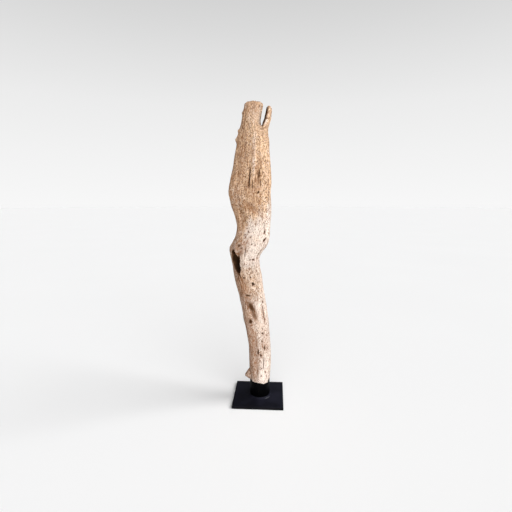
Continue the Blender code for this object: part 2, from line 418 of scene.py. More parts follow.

# Hollows worn in the wood: angle, height, half width, half height, depth, tilt, dark, stain. The
# dark is rot and painted shade in the hollow
HOLLOWS = [
    (-146, 455, 4.5, 8, 6.0, 6, 1.0, 1.0),
    (-24, 443, 13, 20, 5.0, -8, 0.0, 0.0),
    (-122, 433, 4.6, 14, 7.0, 3, 1.0, 1.0),
    # These two are painted shade under the lumps above them
    (-168, 750, 8, 7, 1.5, 0, 0.40, 1.0),
    (-174, 783, 5, 5, 1.0, 0, 0.35, 1.0),
    (-128, 473, 5, 5, 2.2, 0, 0.50, 1.0),
    (-117, 466, 3, 3.5, 1.8, 0, 0.50, 1.0),
    (-125, 388, 2.4, 12, 5.0, 6, 0.90, 1.0),
    (-36, 451, 2.4, 15, 4.5, -14, 0.55, 0.7),
    (-100, 289, 8.5, 20, 2.2, 16, 0.62, 1.0),
    (-93, 266, 7, 17, 1.4, 20, 0.35, 1.0),
    (-88, 580, 22, 8, 3.0, -32, 0.10, 0.9),
    (-112, 366, 8, 15, 2.2, 12, 0.12, 0.35),
    (-106, 325, 9, 3.2, 3.2, -4, 0.65, 0.7),
    (-58, 690, 4.0, 50, 2.2, 2, 0.05, 0.40),
    (-60, 664, 4.5, 24, 2.2, 3, 0.35, 0.8),
    (-118, 452, 10, 9, 2.2, 20, 0.20, 0.9),
    (-135, 545, 10, 26, 2.0, -8, 0.05, 0.5),
    (-104, 160, 6, 60, 1.8, 0, 0.10, 0.8),
    (-100, 95, 4, 26, 1.6, 0, 0.15, 0.8),
    (35, 520, 12, 30, 3.0, 10, 0.15, 0.5),
    (92, 470, 16, 24, 3.5, -15, 0.20, 0.7),
    (140, 600, 10, 44, 3.0, 6, 0.15, 0.6),
    (75, 330, 7, 40, 3.0, 4, 0.25, 0.7),
    (175, 250, 8, 30, 2.6, 8, 0.15, 0.6),
    (10, 690, 5, 40, 2.4, 3, 0.25, 0.5),
]

# Open pits and worm holes: angle, height, half width, half height, depth, tilt
PITS = [
    (-57, 621, 2.5, 3.2, 3.6, 0),
    (-39, 511, 2.0, 4.0, 3.0, 0),
    (-35, 489, 2.2, 5.5, 3.5, -25),
    (-90, 497, 1.3, 2.2, 2.0, 0),
    (-77, 478, 1.4, 2.2, 2.0, 0),
    (-69, 433, 2.0, 2.6, 2.4, 0),
    (-57, 433, 2.4, 2.4, 2.8, -20),
    (-69, 360, 3.0, 4.2, 7.0, 0),
    (-76, 381, 1.6, 3.2, 2.2, 0),
    (-106, 379, 3.0, 2.8, 2.6, 0),
    (-38, 303, 1.4, 2.8, 2.4, 0),
    (-41, 287, 1.3, 3.2, 2.4, 0),
    (-61, 211, 2.2, 2.8, 2.6, 0),
    (-70, 187, 2.0, 2.6, 2.6, 0),
    (-59, 167, 2.2, 5.5, 3.0, -8),
    (-95, 155, 1.8, 6.0, 3.2, 0),
    (-82, 144, 2.2, 5.0, 3.0, 0),
    (-77, 104, 1.6, 3.0, 2.0, -40),
    (-52, 93, 1.6, 3.0, 2.0, 50),
    (25, 380, 3.4, 5.0, 5.0, 10),
    (120, 540, 3.6, 6.0, 5.0, 0),
    (70, 655, 3.0, 5.0, 4.0, 0),
    (165, 400, 3.4, 4.0, 5.0, 0),
    (100, 200, 3.0, 4.4, 4.0, 0),
]

# Drying cracks: angle, height, half width, half length, depth, tilt
CRACKS = [
    (-92, 661, 1.2, 24, 8.0, 1),
    (-79, 642, 0.8, 11, 3.4, 2),
    (-57, 672, 0.9, 12, 2.8, -2),
    (-52, 645, 0.8, 9, 2.2, 2),
    (-134, 382, 1.6, 15, 6.0, 8),
    (-96, 455, 0.8, 14, 2.5, 6),
    (-43, 262, 1.0, 20, 3.0, 0),
    (-66, 120, 0.8, 16, 2.4, 0),
    (20, 620, 1.2, 46, 6.0, 2),
    (78, 560, 1.3, 60, 7.0, -2),
    (130, 700, 1.2, 50, 6.0, 2),
    (165, 180, 1.1, 40, 5.0, 0),
    (60, 150, 1.2, 44, 5.0, 1),
    (5, 330, 1.0, 34, 4.0, 2),
]

# Brown stains: angle, height, half width, half height, strength, tilt
STAINS = [
    (-100, 846, 24, 20, 0.50, 0),
    (-124, 470, 24, 24, 0.80, 10),
    (-95, 578, 30, 12, 0.80, -20),
    (-128, 672, 13, 30, 0.55, 0),
    (-78, 632, 28, 36, 0.52, 0),
    (-58, 660, 8, 26, 0.55, 2),
    (-60, 592, 14, 16, 0.45, 0),
    (-148, 520, 16, 42, 0.55, 0),
    (-124, 352, 17, 52, 0.85, 8),
    (-70, 325, 9, 22, 0.50, 6),
    (-103, 285, 12, 30, 0.95, 20),
    (-165, 88, 10, 14, 0.90, 0),
    (-126, 230, 14, 60, 0.75, 0),
    (-122, 150, 16, 96, 0.85, 0),
    (-104, 120, 11, 60, 0.45, 0),
    (-48, 190, 14, 40, 0.35, 0),
    (-60, 178, 12, 18, 0.60, 0),
    (-88, 146, 12, 13, 0.60, 0),
    (-45, 262, 7, 30, 0.50, 0),
    (-100, 720, 22, 36, 0.30, 0),
    (-140, 745, 14, 50, 0.35, 0),
    (60, 480, 20, 50, 0.60, 0),
    (110, 300, 16, 70, 0.55, 0),
    (30, 200, 12, 60, 0.45, 0),
    (100, 120, 20, 40, 0.55, 0),
]

# Bleached places: angle, height, half width, half height, strength, tilt
PALES = [
    (-33, 830, 5, 34, 0.60, 0),
    (-79, 724, 5, 60, 0.55, 0),
    (-76, 832, 20, 34, 0.30, 0),
    (-38, 665, 10, 80, 0.12, 0),
    (-80, 520, 26, 30, 0.38, 0),
    (-138, 610, 24, 34, 0.30, 0),
    (-72, 452, 26, 36, 0.48, 0),
    (-42, 484, 18, 40, 0.45, 0),
    (-66, 262, 8, 52, 0.80, 0),
    (-58, 96, 18, 34, 0.60, 0),
    (40, 700, 12, 60, 0.40, 0),
    (120, 420, 20, 70, 0.50, 0),
    (-170, 300, 10, 60, 0.30, 0),
]

# Places below the knee that kept their tan: angle, height, half width, half height, strength, tilt
TANNED = [
    (-92, 366, 40, 50, 0.50, 10),
    (-86, 426, 20, 24, 0.22, 0),
    (-45, 372, 24, 44, 0.30, 0),
]

# Lumps left proud: angle, height, half width, half height, how proud
LUMPS = [
    (-173, 790, 5, 5, 3.2),
    (-172, 765, 6, 8, 4.0),
    (-176, 838, 5, 5, 3.0),
    (178, 861, 6, 4, 2.0),
    (-150, 858, 12, 7, 3.0),
    (-128, 480, 16, 15, 3.2),
    (-150, 640, 18, 26, 1.6),
    (-30, 480, 16, 22, 1.8),
    (55, 612, 18, 20, 4.0),
    (150, 332, 12, 15, 3.4),
]

# The rotted hollow below the knee: an oval, leaning and turned
ROT_MIDDLE = (-61 * MM, -27 * MM, 425 * MM)
ROT_LEAN_DEG = -13
ROT_TURN_DEG = -32
ROT_HALF_SIZES = (0.0120, 0.0215, 0.0365)

# The filled knot under the gouge: angle, height, half width, half height, tilt
FILLED_KNOT = (-114, 247, 4.6, 5.6, 0)
# The gnarled swelling of the knee, the same way
KNEE = (-125, 476, 24, 20, 0)

SEED = 20
SMALL_PITS = 150
SMALL_CRACKS = 46
SMALL_CRACK_WIDTH = 0.75
# Angles at the front that get no small cracks
CLEAR_FRONT = (-125, -25)


def scattered_wear():
    """Small pits all round and small cracks off the front, the same each time."""
    chance = np.random.default_rng(SEED)
    pits = []
    for _ in range(SMALL_PITS):
        height = 75 + 780 * chance.random() ** 1.25
        size = chance.uniform(0.6, 1.5)
        long = size * chance.uniform(1.4, 3.6)
        angle = chance.uniform(-180, 180)
        pits.append((angle, height, size, long, size * 1.2, chance.uniform(-12, 12)))
    cracks = []
    for _ in range(SMALL_CRACKS):
        height = chance.uniform(90, 840)
        length = chance.uniform(8, 30)
        angle = chance.uniform(-180, 180)
        depth = chance.uniform(1.2, 2.8)
        if not CLEAR_FRONT[0] < angle < CLEAR_FRONT[1]:
            cracks.append((angle, height, SMALL_CRACK_WIDTH, length, depth, 0))
    return pits, cracks


def worn_distance(trunk, mark, squareness=2):
    """How far each point is from a mark's middle, in units of the mark's own half sizes."""
    points, angle, distance = trunk
    mark_angle, mark_height, half_width, half_height, tilt = mark
    across = wrapped(angle - math.radians(mark_angle)) * distance
    along = points[:, 2] - mark_height * MM
    across, along = turned(across, along, math.radians(tilt))
    wide = np.abs(across / (half_width * MM)) ** squareness
    long = np.abs(along / (half_height * MM)) ** squareness
    return (wide + long) ** (1 / squareness)


def level_with(trunk, height, reach):
    """Which points lie within reach of a height, and the trunk's values for them."""
    near = np.nonzero(np.abs(trunk[0][:, 2] - height * MM) < reach * MM)[0]
    return near, [values[near] for values in trunk]


def wear_marks(trunk):
    """Depth cut by the marks, and how dark and how stained each point is."""
    points = trunk[0]
    lift, dark, stain = np.zeros((3, len(points)))
    ragged = layered_noise(points / 0.0040, 31, 2)
    small_pits, small_cracks = scattered_wear()
    for angle, height, wide, high, depth, tilt, darkness, staining in HOLLOWS:
        away = worn_distance(trunk, (angle, height, wide, high, tilt)) * (1 + 0.18 * ragged)
        lift -= depth * MM * np.exp(-(away**2.4))
        dark = np.maximum(dark, darkness * np.exp(-((away * 1.25) ** 3)))
        stain = np.maximum(stain, staining * np.exp(-((away * 0.72) ** 3)))
    # Pits and cracks are painted darker the deeper they are: painted shade in them
    for angle, height, wide, high, depth, tilt in PITS + small_pits:
        near, part = level_with(trunk, height, high * 3)
        away = worn_distance(part, (angle, height, wide, high, tilt)) * (1 + 0.6 * ragged[near])
        lift[near] -= depth * MM * np.exp(-(away**2.8))
        darkness = min(0.95, 0.35 + 0.15 * depth)
        dark[near] = np.maximum(dark[near], darkness * np.exp(-((away * 1.05) ** 3)))
        stain[near] = np.maximum(stain[near], 0.5 * np.exp(-((away * 0.6) ** 3)))
    for angle, height, wide, high, depth, tilt in CRACKS + small_cracks:
        near, part = level_with(trunk, height, high * 1.3)
        sway = gradient_noise(part[0] * (0, 0, 1 / 0.014) + (height, 0.5, 0.5), 41)
        part[1] += sway * 0.0011 / np.maximum(part[2], 0.01)
        away = worn_distance(part, (angle, height, wide, high, tilt), 4)
        lift[near] -= depth * MM * np.exp(-(away**2.5))
        dark[near] = np.maximum(dark[near], np.exp(-(away**3)) * min(1, depth / 3))
    for angle, height, wide, high, proud in LUMPS:
        away = worn_distance(trunk, (angle, height, wide, high, 0))
        lift += proud * MM * np.exp(-(away**2)) * (1 + 0.25 * ragged)
    return lift, dark, stain


def coloured(trunk, marks):
    """How strongly a table of soft marks colours each point."""
    strongest = np.zeros(len(trunk[0]))
    for angle, height, wide, high, strength, tilt in marks:
        away = worn_distance(trunk, (angle, height, wide, high, tilt), 3)
        strongest = np.maximum(strongest, strength * (1 - smooth_step(0.55, 1.35, away)))
    return strongest


def hollow_distance(points):
    """Below 1 inside the rotted hollow below the knee, above 1 outside it."""
    offset = points - np.array(ROT_MIDDLE)
    level, upright = turned(offset[:, 0], offset[:, 2], math.radians(-ROT_LEAN_DEG))
    across, inward = turned(level, offset[:, 1], math.radians(ROT_TURN_DEG))
    wide, deep, high = ROT_HALF_SIZES
    return np.hypot(np.hypot(across / wide, inward / deep), upright / high)


# ---- wood: carving

# Height where the tan turns to cream at the plate's middle, and how it rises to the right
BORDER_HEIGHT = 0.546
BORDER_SLOPE = 1.05
# Spacing of the patterns carved in the wood, and how they are drawn out along the grain
ALONG = np.array((1, 1, 0.11))
FLUTE_SPACING = 0.013
GROOVE_SPACING = 0.0058
BREAK_SPACING = 0.020
FIBRE_SPACING = 0.0026
LUMP_SPACING = 0.048
MOTTLE_SPACING = 0.0050
SLIT_BULGE = 2.2 * MM
HOLLOW_ROUGHNESS = 1.3 * MM
KNEE_ROUGHNESS = 1.8 * MM
# The torn tops' splinters, and the lip at the foot: how high, at which angle, how far round
SPLINTER_HEIGHT = 1.2 * MM
LIP_RAGGEDNESS = 1.1 * MM
LIP_RISE = (6.0 * MM, math.radians(-76), math.radians(34))
LIP_DIP = (2.0 * MM, math.radians(-25), math.radians(22))
TUBE_GAP = 0.35 * MM


def carve(wood, settings):
    """Moves the fine mesh along its normals and stores what the finish needs."""
    mesh = wood.data
    points = vectors_of(mesh.vertices, "co")
    normals = vectors_of(mesh.vertex_normals, "vector")
    height = points[:, 2]
    trunk = trunk_of(points)
    angle = trunk[1]
    grain = grain_coordinates(trunk, normals)
    from_tube = np.hypot(points[:, 0] - TUBE_AXIS.x, points[:, 1] - TUBE_AXIS.y)

    border = BORDER_HEIGHT + BORDER_SLOPE * points[:, 0]
    border += 0.030 * layered_noise(grain * (1, 1, 0.25) / 0.02, 17, 2)
    upper = smooth_step(-0.03, 0.045, height - border)
    free = smooth_step(RIM + 0.002, RIM + 0.012, height)
    free = np.maximum(free, smooth_step(TUBE_RADIUS + 0.0015, TUBE_RADIUS + 0.003, from_tube))

    flute = gradient_noise(grain * ALONG / FLUTE_SPACING, 11)
    groove = gradient_noise(grain * ALONG / GROOVE_SPACING, 12)
    broken = 0.5 + 0.5 * gradient_noise(grain * ALONG / BREAK_SPACING + 7.3, 13)
    fibres = gradient_noise(grain * ALONG / FIBRE_SPACING, 14)
    lumps = layered_noise(points / LUMP_SPACING, 15, 2)
    mottle = layered_noise(grain * (1, 1, 0.32) / MOTTLE_SPACING, 16, 2)
    pale = coloured(trunk, PALES)
    tanned = coloured(trunk, TANNED)
    flutes = np.exp(-((flute / 0.30) ** 2)) * (1 - pale)
    grooves = np.exp(-((groove / 0.22) ** 2)) * (1 - pale)

    lift = settings.lump_height * lumps
    lift -= settings.flute_depth * flutes * (0.45 + 0.75 * upper)
    lift -= settings.groove_depth * grooves * broken * (0.5 + 0.9 * upper)
    lift += settings.fibre_depth * fibres * (0.6 + 0.5 * upper)
    lift += settings.mottle_height * mottle
    marks, dark, stain = wear_marks(trunk)
    lift += marks

    # The slit of the fork closes a little towards its bottom, and its side facing the trunk is
    # painted dark: painted shade in the slit
    in_slit = smooth_step(0.792, 0.80, height)
    in_slit *= smooth_step(0.004, 0.007, points[:, 0] - fork_line(height))
    faces_trunk = -normals[:, 0]
    narrowed = in_slit * smooth_step(-0.1, 1.0, faces_trunk)
    lift += SLIT_BULGE * narrowed * (1 - smooth_step(0.805, 0.845, height))
    in_slit *= smooth_step(0.3, 0.7, faces_trunk)

    # The rotted hollow keeps its own rough wall, and the knee beside it is gnarled
    hollow_size = hollow_distance(points) * (1 + 0.06 * layered_noise(points / 0.009, 23, 2))
    in_hollow = 1 - smooth_step(0.97, 1.12, hollow_size)
    rough = layered_noise(points / 0.008, 21, 3)
    lift = lift * (1 - in_hollow) + in_hollow * HOLLOW_ROUGHNESS * rough
    knee = np.exp(-(worn_distance(trunk, KNEE) ** 3))
    lift += knee * (1 - in_hollow) * KNEE_ROUGHNESS * layered_noise(points / 0.0075, 22, 3)

    moved = points + normals * (lift * free)[:, None]
    moved[:, 2] += broken_ends(points, height, from_tube)
    set_points(mesh, clear_of_tube(points, moved, from_tube))

    knot = worn_distance(trunk, FILLED_KNOT)
    knot_edge = np.exp(-(((knot - 1) / 0.3) ** 2))
    dark = np.maximum(dark, 0.80 * np.exp(-(knot**4)) + 0.10 * knot_edge)
    dark = np.maximum(dark, 0.80 * in_slit)
    stain = np.maximum(stain, np.exp(-((knot * 0.8) ** 4)))
    stain = np.maximum(stain, coloured(trunk, STAINS))

    # The left side, turned from the lights, gets painted shade as brown stain and darkening, and
    # the torn ends are browner. The grooves and flutes are darkened as painted shade, and the right
    # edge of the upper wood is darkened too.
    turn_left = np.abs(wrapped(angle - math.radians(-172)))
    left = 1 - smooth_step(math.radians(30), math.radians(78), turn_left)
    low = 1 - smooth_step(0.40, 0.50, height)
    stain = np.maximum(stain, left * (0.45 + 0.25 * low))
    torn = smooth_step(0.3, 0.8, normals[:, 2]) * smooth_step(0.835, 0.85, height)
    stain = np.maximum(stain, 0.7 * torn)
    right_edge = np.exp(-((wrapped(angle - math.radians(22)) / math.radians(16)) ** 2)) * upper
    groove_shade = 0.70 * grooves * broken + 0.25 * flutes + 0.45 * right_edge
    groove_shade = np.clip(groove_shade + left * (0.22 + 0.50 * low), 0, 1)

    # Inside the hollow the wood is stained and painted dark, as rot and painted shade, and its left
    # wall, which faces the light, is painted lighter: painted light
    inside = 1 - smooth_step(0.80, 1.02, hollow_size)
    lit_side = 1 - smooth_step(-0.069, -0.058, points[:, 0])
    stain = np.maximum(stain, inside)
    dark = np.maximum(dark, inside * (1 - 0.56 * lit_side * (0.7 + 0.6 * rough)))
    bleached = 1 - upper + pale - tanned
    weather = np.stack([bleached, stain, dark, groove_shade], axis=1)
    store(mesh, "grain", "FLOAT_VECTOR", grain)
    store(mesh, "weather", "FLOAT_COLOR", weather)


def broken_ends(points, height, from_tube):
    """Splinters on the two torn tops and a ragged lip at the foot."""
    near_top = smooth_step(0.838, 0.858, height)
    splinters = near_top * layered_noise(points * (1, 1, 0.15) / 0.0042, 25, 2)
    lip = smooth_step(TUBE_RADIUS, TUBE_RADIUS + 0.001, from_tube)
    lip *= 1 - smooth_step(RIM - 0.004, RIM + 0.004, height)
    turn = np.arctan2(points[:, 1] - TUBE_AXIS.y, points[:, 0] - TUBE_AXIS.x)
    edge = LIP_RAGGEDNESS * layered_noise(points / 0.006, 26, 2)
    for sign, (rise, middle, spread) in ((1, LIP_RISE), (-1, LIP_DIP)):
        edge += sign * rise * np.exp(-((wrapped(turn - middle) / spread) ** 2))
    return SPLINTER_HEIGHT * splinters + lip * edge


def clear_of_tube(points, moved, from_tube):
    """Keeps the tenon, the shoulder and the lip off the tube's wall."""
    axis = np.array((TUBE_AXIS.x, TUBE_AXIS.y))
    offset = moved[:, :2] - axis
    reach = np.maximum(np.hypot(offset[:, 0], offset[:, 1]), 1e-6)
    below_rim = moved[:, 2] < RIM + TUBE_GAP
    inner = TUBE_RADIUS - TUBE_WALL - TUBE_GAP
    outer = TUBE_RADIUS + TUBE_GAP
    is_tenon = from_tube < TUBE_RADIUS - TUBE_WALL / 2
    wanted = np.where(is_tenon, np.minimum(reach, inner), np.maximum(reach, outer))
    over_rim = (from_tube > inner - MM) & (from_tube < outer) & (points[:, 2] > RIM)
    scale = np.where(below_rim & ~over_rim, wanted / reach, 1)
    result = moved.copy()
    result[:, :2] = axis + offset * scale[:, None]
    result[:, 2] = np.where(over_rim, np.maximum(result[:, 2], RIM + TUBE_GAP), result[:, 2])
    return result


def store(mesh, name, kind, values):
    attribute = mesh.attributes.new(name, kind, "POINT")
    field = "color" if kind == "FLOAT_COLOR" else "vector"
    attribute.data.foreach_set(field, values.astype(np.float32).ravel())


# ---- materials


class Shader:
    """A material's node tree, built one node at a time."""

    def __init__(self, name, owner=None, surface="Principled BSDF"):
        self.material = owner or bpy.data.materials.new(name)
        self.material.use_nodes = True
        self.tree = self.material.node_tree
        self.surface = self.tree.nodes[surface]

    def node(self, kind, sockets=None, **values):
        """Adds a node, sets its values, and sets or links its sockets."""
        made = self.tree.nodes.new(kind)
        for name, value in values.items():
            setattr(made, name, value)
        for socket, value in (sockets or {}).items():
            self.set(made.inputs[socket], value)
        return made

    def set(self, socket, value):
        if isinstance(value, bpy.types.NodeSocket):
            self.tree.links.new(value, socket)
        elif hasattr(value, "__len__") and len(value) == 3 and socket.type == "RGBA":
            socket.default_value = (*value, 1)
        else:
            socket.default_value = value

    def finish(self, **sockets):
        for name, value in sockets.items():
            self.set(self.surface.inputs[name.replace("_", " ")], value)
        return self.material

    def maths(self, operation, first, second=0.0, clamp=False):
        sockets = {0: first, 1: second}
        made = self.node("ShaderNodeMath", sockets, operation=operation, use_clamp=clamp)
        return made.outputs[0]

    def mix(self, factor, first, second, blend="MIX"):
        made = self.node("ShaderNodeMix", data_type="RGBA", blend_type=blend, clamp_factor=True)
        self.set(made.inputs["Factor"], factor)
        self.set(made.inputs[6], first)
        self.set(made.inputs[7], second)
        return made.outputs[2]

    def lobe(self, direction, towards, tightness, strength):
        """A broad soft light: strongest in one direction and fading away from it."""
        share = self.maths("MAXIMUM", self.dot(direction, Vector(towards).normalized()), 0.0)
        return self.maths("MULTIPLY", self.maths("POWER", share, tightness), strength)

    def range(self, value, low, high, to_low=0.0, to_high=1.0):
        """The value stretched from one range to another and held inside it."""
        sockets = {"Value": value, "From Min": low, "From Max": high}
        sockets |= {"To Min": to_low, "To Max": to_high}
        return self.node("ShaderNodeMapRange", sockets).outputs["Result"]

    def noise(self, vector, scale, detail=3.0, roughness=0.5, distortion=0.0):
        sockets = {"Vector": vector, "Scale": scale, "Detail": detail}
        sockets |= {"Roughness": roughness, "Distortion": distortion}
        return self.node("ShaderNodeTexNoise", sockets).outputs["Fac"]

    def stretched(self, vector, factors):
        made = self.node("ShaderNodeVectorMath", {0: vector, 1: factors}, operation="MULTIPLY")
        return made.outputs[0]

    def dot(self, first, second):
        made = self.node("ShaderNodeVectorMath", {0: first, 1: second}, operation="DOT_PRODUCT")
        return made.outputs["Value"]

    def layers(self, base, *layers):
        """Colours laid over a base: each by a pattern's range, up to a share."""
        for pattern, low, high, share, colour in layers:
            base = self.mix(self.range(pattern, low, high, 0, share), base, colour)
        return base

    def bump(self, height, distance, strength, normal=None):
        sockets = {"Height": height, "Distance": distance, "Strength": strength}
        if normal is not None:
            sockets["Normal"] = normal
        return self.node("ShaderNodeBump", sockets).outputs["Normal"]


def tone(colour, factor):
    return tuple(min(1.0, channel * factor) for channel in colour)


def wood_material(settings):
    """Tan above, bleached below, with streaks, speckles, stains, dark rot and painted shade."""
    shader = Shader("weathered_driftwood")
    grain = shader.node("ShaderNodeAttribute", attribute_name="grain").outputs["Vector"]
    weather = shader.node("ShaderNodeAttribute", attribute_name="weather")
    place = shader.node("ShaderNodeTexCoord").outputs["Object"]
    masks = shader.node("ShaderNodeSeparateColor", {"Color": weather.outputs["Color"]}).outputs
    bleached, stained, dark = masks[0], masks[1], masks[2]
    painted_shade = weather.outputs["Alpha"]

    def along_grain(length, *pattern):
        return shader.noise(shader.stretched(grain, (1, 1, length)), *pattern)

    streaks = along_grain(0.09, 270, 5, 0.62)
    bands = along_grain(0.14, 75, 3, 0.5)
    fibres = along_grain(0.07, 1000, 2, 0.5)
    mottles = along_grain(0.34, 250, 5, 0.68)
    flecks = along_grain(0.55, 430, 2, 0.6)
    glints = along_grain(0.40, 360, 3, 0.6, 0.6)
    patches = shader.noise(place, 22, 3, 0.55)

    tan, cream, brown = settings.tan_colour, settings.cream_colour, settings.stain_colour
    clean = shader.range(bleached, 1.0, 1.6, 1.0, 0.45)
    streak_share = shader.range(streaks, 0.36, 0.66)
    upper = shader.layers(
        shader.mix(streak_share, tone(tan, 0.70), tone(tan, 1.16)),
        (bands, 0.42, 0.70, 0.45, tone(tan, 1.2)),
        (glints, 0.52, 0.66, 0.75, tone(cream, 1.08)),
        (mottles, 0.50, 0.62, 0.62, tone(brown, 1.10)),
        (flecks, 0.53, 0.59, 0.95, tone(brown, 0.45)),
    )
    lower = shader.layers(
        shader.mix(streak_share, tone(cream, 0.84), tone(cream, 1.12)),
        (glints, 0.50, 0.66, 0.70, tone(cream, 1.25)),
        (patches, 0.52, 0.70, 0.35, tone(tan, 1.05)),
        (mottles, 0.51, 0.61, shader.maths("MULTIPLY", clean, 0.85), tone(cream, 0.55)),
        (flecks, 0.54, 0.60, clean, tone(brown, 0.65)),
    )

    bleach = shader.maths("ADD", bleached, shader.range(mottles, 0.35, 0.65, 0.22, -0.22))
    body = shader.mix(shader.range(bleach, 0.15, 0.95), upper, lower)
    broken_up = shader.range(mottles, 0.38, 0.60, 0.30, 1.0)
    stain_share = shader.maths("MULTIPLY", stained, broken_up, True)
    body = shader.mix(stain_share, body, brown)
    # The dark mask paints rot and painted shade, first in dark brown and then in the rot colour
    body = shader.mix(shader.maths("MULTIPLY", dark, 1.7, True), body, tone(brown, 0.55))
    # This darkening is painted shade in the grooves, the flutes and on the left side; it also
    # darkens the right edge of the upper wood
    painted_shade_share = shader.maths("MULTIPLY", painted_shade, shader.range(streaks, 0.35, 0.65, 0.85, 0.35))
    shaded = shader.mix(1.0, body, (0.46, 0.38, 0.31), "MULTIPLY")
    body = shader.mix(painted_shade_share, body, shaded)
    ragged_dark = shader.maths("MULTIPLY", dark, shader.range(mottles, 0.30, 0.55, 0.90, 1.0), True)
    body = shader.mix(ragged_dark, body, settings.rot_and_shade_colour)

    coarse = shader.bump(streaks, 0.0010, 0.6)
    middle = shader.bump(mottles, 0.0016, 0.7, coarse)
    small = shader.bump(flecks, 0.0012, 0.7, middle)
    normal = shader.bump(fibres, 0.0003, 0.5, small)
    roughness = shader.range(streaks, 0.3, 0.7, 0.95, 0.74)
    shader.surface.inputs["Specular IOR Level"].default_value = 0.08
    return shader.finish(Base_Color=body, Roughness=roughness, Normal=normal)


def black_steel_material(name, colour, bare_and_highlight_colour, rubbed, painted_light=None, gloss=0.04):
    """Satin black over steel. rubbed makes the mask of worn places, which on the weld is a painted
    highlight; the optional second mask paints light on the black, and outside it the black is
    painted darker as shade.
    """
    shader = Shader(name)
    place = shader.node("ShaderNodeTexCoord").outputs["Object"]
    cloud = shader.noise(place, 28, 4, 0.6)
    brushed = shader.noise(shader.stretched(place, (0.06, 1, 1)), 1500, 2, 0.5)
    peel = shader.noise(place, 900, 2, 0.5)
    shade_of = shader.range(cloud, 0.3, 0.7, 0.0, 1.0)
    paint = shader.mix(shade_of, tone(colour, 0.8), tone(colour, 1.35))
    # Painted light and shade: the paint is four times darker where the second mask is off
    if painted_light is not None:
        paint = shader.mix(painted_light(shader, place), tone(colour, 0.25), paint)
    # Rubbed places show bare steel; on the weld they are a painted highlight
    wear = shader.maths("MULTIPLY", rubbed(shader, place), shader.range(cloud, 0.42, 0.62), True)
    body = shader.mix(wear, paint, bare_and_highlight_colour)
    smear = shader.range(cloud, 0.3, 0.7, 0.36, 0.50)
    roughness = shader.maths("ADD", smear, shader.range(brushed, 0.3, 0.7, -0.03, 0.03))
    fine = shader.bump(peel, 0.0002, 0.12)
    normal = shader.bump(brushed, 0.0001, 0.10, fine)
    shader.surface.inputs["Specular IOR Level"].default_value = gloss
    return shader.finish(Base_Color=body, Roughness=roughness, Normal=normal)


def rubbed_plate_edges(shader, place):
    """Worn where the plate's outer edge is near."""
    axes = shader.node("ShaderNodeSeparateXYZ", {0: place}).outputs
    out_x = shader.maths("ABSOLUTE", axes[0])
    out_y = shader.maths("ABSOLUTE", axes[1])
    reach = shader.maths("MAXIMUM", out_x, out_y)
    half = PLATE_HIGH.x
    return shader.range(reach, half - 1.6 * MM, half, 0.0, 0.06)


def painted_light_on_plate(shader, place):
    """Painted light: full on the plate's top beside the tube, thinner at the front, none on its
    sides, which are painted darker as shade.
    """
    axes = shader.node("ShaderNodeSeparateXYZ", {0: place}).outputs
    top = shader.range(axes[2], PLATE_HIGH.z - 0.7 * MM, PLATE_HIGH.z - 0.1 * MM)
    depth = shader.range(axes[1], PLATE_LOW.y, TUBE_AXIS.y, 0.30, 0.80)
    patches = shader.range(shader.noise(place, 17, 2), 0.45, 0.65, 0.0, 0.45)
    return shader.maths("MULTIPLY", top, shader.maths("ADD", depth, patches))


def painted_weld_highlight(shader, place):
    """A painted highlight of bright steel on a short arc at the bead's front right."""
    offset = shader.node("ShaderNodeVectorMath", {0: place, 1: TUBE_AXIS}, operation="SUBTRACT")
    flat = shader.stretched(offset.outputs[0], (1, 1, 0))
    facing = shader.dot(flat, (0.70, -0.71, 0))
    reach = WELD_HIGH.x - TUBE_AXIS.x
    return shader.range(facing, 0.93 * reach, 0.99 * reach)


def rubbed_rim(shader, place):
    """Worn on the top few tenths of a millimetre of the tube."""
    height = shader.node("ShaderNodeSeparateXYZ", {0: place}).outputs[2]
    return shader.range(height, RIM - 0.8 * MM, RIM, 0.0, 0.2)


def rubbed_everywhere(shader, place):
    """Thin wear all over, as on a screw head that a driver has turned."""
    return shader.range(shader.noise(place, 420, 2), 0.5, 0.7, 0.0, 0.35)


def floor_material(colour):
    shader = Shader("pale_floor")
    place = shader.node("ShaderNodeTexCoord").outputs["Object"]
    cloud = shader.noise(place, 1.3, 2, 0.5)
    body = shader.mix(shader.range(cloud, 0.3, 0.7), tone(colour, 0.995), tone(colour, 1.005))
    shader.surface.inputs["Specular IOR Level"].default_value = 0.0
    return shader.finish(Base_Color=body, Roughness=0.9)


# ---- operators


